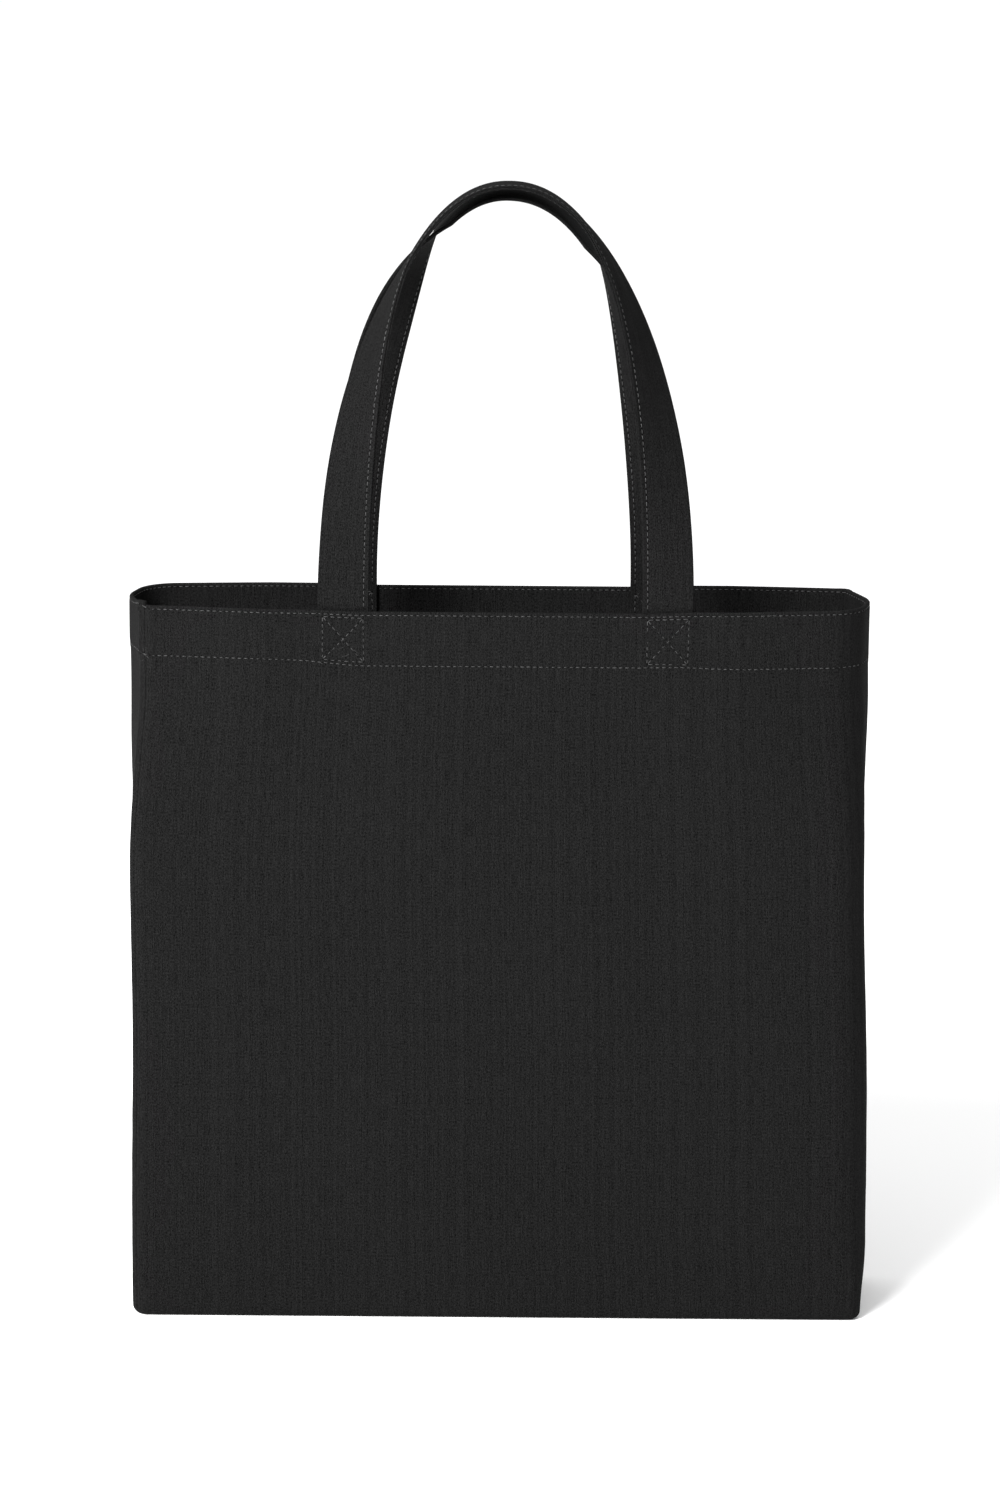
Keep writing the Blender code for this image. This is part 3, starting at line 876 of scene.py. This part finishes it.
def fibre(threads, start, heading, normal, length, radius, chance):
    """A short loose fibre that curls away from the cloth."""
    path, run = [np.array(start, float)], np.array(heading, float)
    steps = 9
    for _ in range(steps):
        run = unit(run + chance.normal(0, 0.25, 3) + normal * 0.02)
        path.append(path[-1] + run * length / steps)
    path = np.array(path)
    path = path + normal * np.maximum(0, -((path - path[0]) @ normal))[:, None]
    thin = radius * np.linspace(1, 0.5, steps + 1)
    threads.add_rings(tube(path, normal, thin, 5), 0)


def make_fibres(front):
    """Thread ends and lint left at the stitches."""
    chance = np.random.default_rng(5)
    threads = Threads()
    # x, height over the rim, length and thickness, in millimetres
    spots = [(-77.5, -22.5, 5.5, 0.13), (-80, -19, 3, 0.1), (-75, -20, 3, 0.1)]
    spots += [(chance.uniform(-175, 180), -HEM_ROW_DROP / MM, 2, 0.07) for _ in range(16)]
    spots += [(chance.uniform(-175, 180), -EDGE_ROW_DROP / MM, 1.6, 0.07) for _ in range(22)]
    spots += [(chance.uniform(-181.5, -178), chance.uniform(-32, -27), 3.5, 0.08) for _ in range(9)]
    for x, down, length, radius in spots:
        height = BODY_HEIGHT + down * MM
        flat, inward, _ = outline(height, np.linspace(0, 0.8, 400), 1)
        nearest = int(np.argmin(np.abs(flat[:, 0] - x * MM)))
        along = np.array([nearest / 399 * 0.8 * PANEL_LENGTH])
        inset = outer_inset(front, along, flat[nearest : nearest + 1, 0], height)
        place = flat[nearest : nearest + 1] + inward[nearest] * (inset - 0.12 * MM)[:, None]
        start = front.settled(place, height)[0]
        normal = np.array([*(-inward[nearest]), 0.0])
        angle = chance.uniform(0, math.tau)
        heading = np.array([math.cos(angle), 0.0, math.sin(angle)])
        fibre(threads, start, heading, normal, length * MM, radius * MM, chance)
    finish_piece(threads.make("loose_fibres"), "bag", "thread")


# Straps


class Strap:
    """A folded canvas strap: both sewn ends and the loop between them."""

    def __init__(self, handle):
        self.place, self.side, self.handle = handle["place"], handle["side"], handle
        self.legs, self.rise = leg_middles(self.place), handle["rise"]

    def line(self):
        """Evenly spaced (across, up) points of the strap's centre line, with directions and distances."""
        middle, half = sum(self.legs) / 2, (self.legs[1] - self.legs[0]) / 2
        left_power, right_power = self.handle["arches"]
        angles = np.linspace(0, math.pi, 1201)
        power = 2 / np.where(angles < math.pi / 2, left_power, right_power)
        across = -np.sign(np.cos(angles)) * np.abs(np.cos(angles)) ** power
        arch = np.column_stack([middle + half * across, self.rise * np.sin(angles) ** power])
        arch[[0, -1], 1] = 0
        end = STRAP_END + FREE_START
        line = np.concatenate([[[self.legs[0], -end]], arch, [[self.legs[1], -end]]])
        length = lengths_along(line)[-1]
        count = round(length / PITCH) * COLUMNS_PER_STITCH
        distances = np.linspace(0, length, count + 1)
        near = 2 * MM
        ahead, behind = np.minimum(distances + near, length), np.maximum(distances - near, 0)
        return points_at(line, distances), unit(points_at(line, ahead) - points_at(line, behind)), distances

    def turns(self, share):
        """How far the strap is turned at each point, about a quarter turn at the top."""
        top = int(np.argmax(share))
        left = np.arange(len(share)) <= top
        (full, power), (right_full, right_power) = self.handle["twists"]
        turned = np.where(left, (share / full) ** power, (share / right_full) ** right_power)
        return math.pi / 2 * np.minimum(self.handle["top_turn"], turned)

    def path(self):
        """Frames along the strap from one sewn end to the other: centre, width, face, distance."""
        flat, run, distances = self.line()
        zero = np.zeros(len(run))
        along = np.column_stack([run[:, 0], zero, run[:, 1]])
        outwards = np.column_stack([-run[:, 1], zero, run[:, 0]])
        other = np.array([0, -self.side, 0])
        share = np.clip(flat[:, 1] / self.rise, 0, 1)
        turn = self.turns(share)
        width = outwards * np.cos(turn)[:, None] + other * np.sin(turn)[:, None]
        face = np.cross(width, along)
        foot = -STRAP_Y
        lean = foot + (self.handle["apex_offset"] - foot) * share ** self.handle["lean"]
        centre = np.column_stack([flat[:, 0], self.side * lean, BODY_HEIGHT + FREE_START + flat[:, 1]])
        wander = 0.35 * MM * ripple(distances, 0, 0.16, 31 + self.side)
        free = smooth(centre[:, 2], BODY_HEIGHT, BODY_HEIGHT + 30 * MM)
        return centre + face * (wander * free)[:, None], width, face, distances


def strap_section():
    """The folded strap's outline, across its width and through its thickness: one fold at the outer
    edge, and two folded edges next to each other at the inner edge."""
    thick, half = STRAP_THICK / 2, STRAP_HALF
    row = -half + STRAP_ROW_INSET
    face = np.array([-half + thick * 0.6, row - 0.8 * MM, row, row + 0.8 * MM, row + 2 * MM])
    face = np.concatenate([face, np.linspace(row + 4 * MM, half - thick, 8)])
    dip = 0.16 * MM * hump(face, row, 0.8 * MM)
    crown = 0.12 * MM * np.cos(np.clip(face / half, -1, 1) * math.pi / 2)
    front = np.column_stack([face, -(thick - dip + crown - 0.08 * MM)])
    angles = np.linspace(-math.pi / 2, math.pi / 2, 9)[1:-1]
    fold = np.column_stack([half - thick + thick * np.cos(angles), thick * np.sin(angles)])
    back = front[::-1] * [1, -1]
    ply = thick / 2
    angles = np.linspace(math.pi / 2, 3 * math.pi / 2, 7)[1:-1]
    lip = np.column_stack([-half + ply + ply * np.cos(angles) * 1.1, ply + ply * np.sin(angles)])
    notch = np.array([[-half + ply * 1.5, 0.0]])
    other_lip = lip[::-1] * [1, -1]
    return np.concatenate([front, fold, back, lip, notch, other_lip])


def make_strap(strap, surface):
    """The strap's cloth, one mesh from sewn end to sewn end."""
    centre, width, face, distances = strap.path()
    section = strap_section()
    wide = 1 + 0.012 * ripple(distances, 0, 0.06, 33 + strap.side)
    holes = np.cos(math.tau * distances / PITCH)
    row = -STRAP_HALF + STRAP_ROW_INSET
    pulled = 0.07 * MM * hump(section[:, 0], row, 1 * MM) * np.sign(section[:, 1])
    across = section[:, 0][None] * wide[:, None]
    folded = hump(distances, 0.665 * distances[-1], 45 * MM) if strap.side < 0 else 0 * distances
    valley = 0.9 * MM * folded[:, None] * hump(section[:, 0], -2 * MM, 5 * MM)[None]
    through = section[:, 1][None] - holes[:, None] * pulled[None] - valley
    points = centre[:, None] + width[:, None] * across[..., None] + face[:, None] * through[..., None]
    faces, uvs = ring_faces(lengths_along(np.concatenate([section, section[:1]])), distances)
    made = make_piece(strap.place + "_handle_strap", points.reshape(-1, 3), faces, uvs, [surface])
    nodes = [f"{strap.place}_handle"] + [f"{strap.place}_{hand}_handle_end" for hand in ("left", "right")]
    finish_strap(made, nodes)


def make_strap_row(strap):
    """The row of stitches along the strap's inner edge, on both faces."""
    centre, width, face, distances = strap.path()
    chance = np.random.default_rng(50 + strap.side)
    threads = Threads()
    sewn = COLUMNS_PER_STITCH * STITCHES_IN_HEM
    picked = np.arange(sewn, len(distances) - sewn, COLUMNS_PER_STITCH)
    middle = centre + width * (-STRAP_HALF + STRAP_ROW_INSET)
    for facing in (-1, 1):
        places = middle + face * facing * (STRAP_THICK / 2 - 0.13 * MM)
        threads.row(places[picked], face[picked] * facing, chance)
    made = threads.make(strap.place + "_handle_edge_thread")
    finish_strap(made, [f"{strap.place}_handle_edge_stitch"])


# Surfaces


class Tree:
    """Short calls for building the nodes of a material or of the world."""

    def __init__(self, owner, shader="Principled BSDF"):
        self.owner = owner
        owner.use_nodes = True
        self.nodes, self.links = owner.node_tree.nodes, owner.node_tree.links
        self.shader = self.nodes[shader]

    def feed(self, node, inputs):
        """Gives a node's inputs their values, or links them to other nodes' outputs."""
        for name, value in inputs.items():
            if isinstance(value, bpy.types.NodeSocket):
                self.links.new(value, node.inputs[name])
            else:
                node.inputs[name].default_value = value

    def shade(self, inputs):
        self.feed(self.shader, inputs)

    def add(self, kind, inputs, **settings):
        """Adds a node and returns its outputs."""
        made = self.nodes.new("ShaderNode" + kind)
        for name, value in settings.items():
            setattr(made, name, value)
        self.feed(made, inputs)
        return made.outputs

    def math(self, operation, *values):
        return self.add("Math", dict(enumerate(values)), operation=operation)[0]

    def noise(self, vector, factors, detail=2.0, roughness=0.5):
        """Noise over a vector, which is multiplied by the factors first."""
        place = self.add("VectorMath", {0: vector, 1: factors}, operation="MULTIPLY")[0]
        inputs = {"Vector": place, "Scale": 1.0, "Detail": detail, "Roughness": roughness}
        return self.add("TexNoise", inputs)[0]

    def chance(self, number):
        return self.add("TexWhiteNoise", {"W": number}, noise_dimensions="1D")["Value"]

    def spread(self, value, low, high, to_low, to_high):
        inputs = dict(enumerate((value, low, high, to_low, to_high)))
        return self.add("MapRange", inputs, clamp=True)[0]

    def bump(self, height, distance, strength, **normal):
        inputs = {"Height": height, "Distance": distance, "Strength": strength}
        return self.add("Bump", inputs | normal)[0]

    def tinted(self, tone, colour):
        """A colour made lighter or darker by tone."""
        return self.add("VectorMath", {0: colour, "Scale": tone}, operation="SCALE")[0]

    def place(self, kind):
        return self.add("TexCoord", {})[kind]

    def weave_uv(self):
        return self.add("UVMap", {}, uv_map=WEAVE_UV)[0]

    def parts(self, vector):
        return self.add("SeparateXYZ", {0: vector})


CANVAS_BLACK = (0.0059, 0.0059, 0.0059)
THREAD_GREY = (0.009, 0.009, 0.009)
# near-black colour of the painted shade at the needle holes
HOLE_SHADE_BLACK = (0.004, 0.004, 0.004)
FLOOR_WHITE = (0.95, 0.95, 0.95, 1)
WARP_PITCH = 0.52 * MM
WEFT_PITCH = 0.66 * MM


def canvas_material():
    """Black cotton canvas: a plain weave with strong warp ribs, uneven threads and a little lint. Its colour
    is darker in the weave's hollows and lighter on the thread crowns: painted shade and painted highlight.
    """
    tree = Tree(bpy.data.materials.new("black_canvas"))
    uv = tree.weave_uv()
    u, v, _ = tree.parts(uv)
    sway = tree.noise(uv, (260, 40, 1))
    warp = tree.math("MULTIPLY_ADD", u, 1 / WARP_PITCH, tree.math("MULTIPLY", sway, 0.6))
    lean = tree.noise(uv, (60, 210, 1))
    weft = tree.math("MULTIPLY_ADD", v, 1 / WEFT_PITCH, tree.math("MULTIPLY", lean, 0.7))
    warp_wave = tree.math("SINE", tree.math("MULTIPLY", warp, math.pi))
    weft_wave = tree.math("SINE", tree.math("MULTIPLY", weft, math.pi))
    over = tree.math("MULTIPLY", warp_wave, weft_wave)
    rib = tree.math("ABSOLUTE", warp_wave)
    knot = tree.math("ABSOLUTE", over)
    height = tree.math("MULTIPLY_ADD", rib, 0.5, tree.math("MULTIPLY", knot, 0.35))
    height = tree.math("MULTIPLY_ADD", over, 0.15, height)
    slub = tree.noise(uv, (2000, 110, 1), 2.0, 0.6)
    fleck = tree.noise(uv, (1650, 1000, 1), 2.0, 0.6)
    cloud = tree.noise(uv, (11, 8, 1), 3.0)
    end_tone = tree.chance(tree.math("FLOOR", warp))
    pick_tone = tree.chance(tree.math("FLOOR", weft))
    tone = tree.math("MULTIPLY_ADD", end_tone, 0.3, 0.72)
    tone = tree.math("MULTIPLY_ADD", pick_tone, 0.06, tone)
    tone = tree.math("ADD", tone, tree.spread(slub, 0.25, 0.75, -0.4, 0.48))
    tone = tree.math("ADD", tone, tree.spread(fleck, 0.3, 0.7, -0.8, 0.95))
    tone = tree.math("ADD", tone, tree.spread(cloud, 0.3, 0.7, -0.05, 0.05))
    # painted shade and highlight: the colour is darker in the weave's hollows and lighter on its crowns
    tone = tree.math("MULTIPLY", tone, tree.spread(height, 0.0, 0.9, 0.5, 1.2))
    lint = tree.spread(tree.noise(uv, (1700, 900, 1), 4.0, 0.7), 0.71, 0.77, 0, 1.6)
    tone = tree.math("ADD", tone, lint)
    normal = tree.bump(height, 0.16 * MM, 0.7, Normal=tree.bump(slub, 0.08 * MM, 0.5))
    tree.shade({"Base Color": tree.tinted(tone, CANVAS_BLACK), "Normal": normal})
    tree.shade({"Roughness": 0.92, "Specular IOR Level": 0.05})
    return tree.owner


@functools.cache
def thread_material():
    """Black sewing thread, a little greyer and shinier than the cloth, with its twist; its colour is darker
    between the strands as painted shade.
    """
    tree = Tree(bpy.data.materials.new("black_thread"))
    u, v, _ = tree.parts(tree.weave_uv())
    around = tree.math("MULTIPLY", u, THREAD_STRANDS / THREAD_AROUND)
    twist = tree.math("MULTIPLY_ADD", v, 1 / TWIST_PITCH, around)
    strand = tree.math("ABSOLUTE", tree.math("SINE", tree.math("MULTIPLY", twist, math.pi)))
    # random patches along the thread that are lighter in colour and shinier
    light_shiny_patches = tree.noise(tree.place("Object"), (380, 380, 380), 1.0)
    # painted shade and highlight: darker in the grooves between the twisted strands, lighter on their crowns
    tone = tree.math("MULTIPLY_ADD", strand, 0.45, 0.6)
    tone = tree.math("MULTIPLY", tone, tree.spread(light_shiny_patches, 0.4, 0.68, 0.45, 2.3))
    tree.shade({"Base Color": tree.tinted(tone, THREAD_GREY), "Normal": tree.bump(strand, 0.05 * MM, 0.6)})
    tree.shade({"Roughness": tree.spread(light_shiny_patches, 0.3, 0.7, 0.7, 0.45), "Sheen Weight": 0.1})
    return tree.owner


@functools.cache
def hole_shade_material():
    """Painted shade for the needle holes: a near-black colour with a fine speckle, standing in for the shadow
    inside them.
    """
    tree = Tree(bpy.data.materials.new("needle_hole_painted_shade"))
    fibres = tree.noise(tree.place("Object"), (5000, 5000, 5000))
    tone = tree.spread(fibres, 0.3, 0.7, 0.4, 1.4)
    tree.shade({"Base Color": tree.tinted(tone, HOLE_SHADE_BLACK), "Roughness": 1.0, "Specular IOR Level": 0.0})
    return tree.owner


# Bodies


def finish_piece(piece, body, slot, *nodes):
    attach(piece, body)
    if nodes:
        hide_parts(*nodes)


def finish_strap(piece, nodes):
    """Fixes a strap piece's placement into its mesh and hides the strap's CAD parts."""
    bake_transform(piece)
    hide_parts(*nodes)


# Stage


def make_stage():
    """A plain pale floor."""
    mesh = bpy.data.meshes.new("floor")
    far = 30
    mesh.from_pydata([(-far, -far, 0), (far, -far, 0), (far, far, 0), (-far, far, 0)], [], [(0, 1, 2, 3)])
    floor = add_object("floor", mesh)
    floor.location.z = -0.2 * MM
    tree = Tree(bpy.data.materials.new("pale_floor"))
    tree.shade({"Base Color": FLOOR_WHITE, "Roughness": 0.9, "Specular IOR Level": 0.1})
    mesh.materials.append(tree.owner)


def make_light():
    """A bright soft tent, brighter above and to the left, and a large soft lamp at the upper left."""
    world = bpy.data.worlds.new("studio")
    bpy.context.scene.world = world
    tree = Tree(world, "Background")
    x, _, z = tree.parts(tree.place("Generated"))
    strength = tree.math("MULTIPLY_ADD", x, -SIDE_LIGHT, SIDE_LIGHT)
    strength = tree.math("MULTIPLY_ADD", z, TOP_LIGHT, strength)
    tree.shade({"Strength": strength, "Color": (1, 1, 1, 1)})
    lamp = bpy.data.lights.new("key", "AREA")
    lamp.shape = "DISK"
    lamp.size = KEY_SIZE
    lamp.energy = KEY_POWER
    made = add_object("key", lamp)
    made.location = KEY_PLACE
    made.rotation_euler = (KEY_TARGET - KEY_PLACE).to_track_quat("-Z", "Y").to_euler()
    made.visible_camera = False
    bpy.context.scene.view_settings.view_transform = "Standard"


def make_camera():
    data = bpy.data.cameras.new("camera")
    data.sensor_width = SENSOR
    data.lens = SENSOR * CAMERA_DISTANCE / VIEW_HEIGHT
    camera = add_object("camera", data)
    back = Vector((0, -math.cos(CAMERA_ELEVATION), math.sin(CAMERA_ELEVATION)))
    camera.location = Vector((0, 0, CAMERA_LOOK_HEIGHT)) + back * CAMERA_DISTANCE
    camera.rotation_euler = (-back).to_track_quat("-Z", "Y").to_euler()
    camera.rotation_euler.rotate_axis("Z", CAMERA_ROLL)
    bpy.context.scene.camera = camera


def build():
    make_camera()
    make_stage()
    make_light()
    canvas = canvas_material()
    panels = [Panel("front_panel", 1, 11), Panel("back_panel", -1, 23)]
    for panel in panels:
        made = make_panel(panel, canvas)
        finish_piece(made, "bag", "canvas", panel.name)
    make_mouth_row("mouth_edge_stitch", EDGE_ROW_DROP, panels)
    make_mouth_row("hem_stitch", HEM_ROW_DROP, panels)
    for panel, place in zip(panels, ("front", "back")):
        for hand, middle in zip(("left", "right"), leg_middles(place)):
            make_box_stitch(panel, f"{place}_{hand}_box_stitch", panel.turn * middle)
    make_allowances(panels, canvas)
    make_fibres(panels[0])
    for handle in (FRONT_HANDLE, BACK_HANDLE):
        strap = Strap(handle)
        make_strap(strap, canvas)
        make_strap_row(strap)


build()
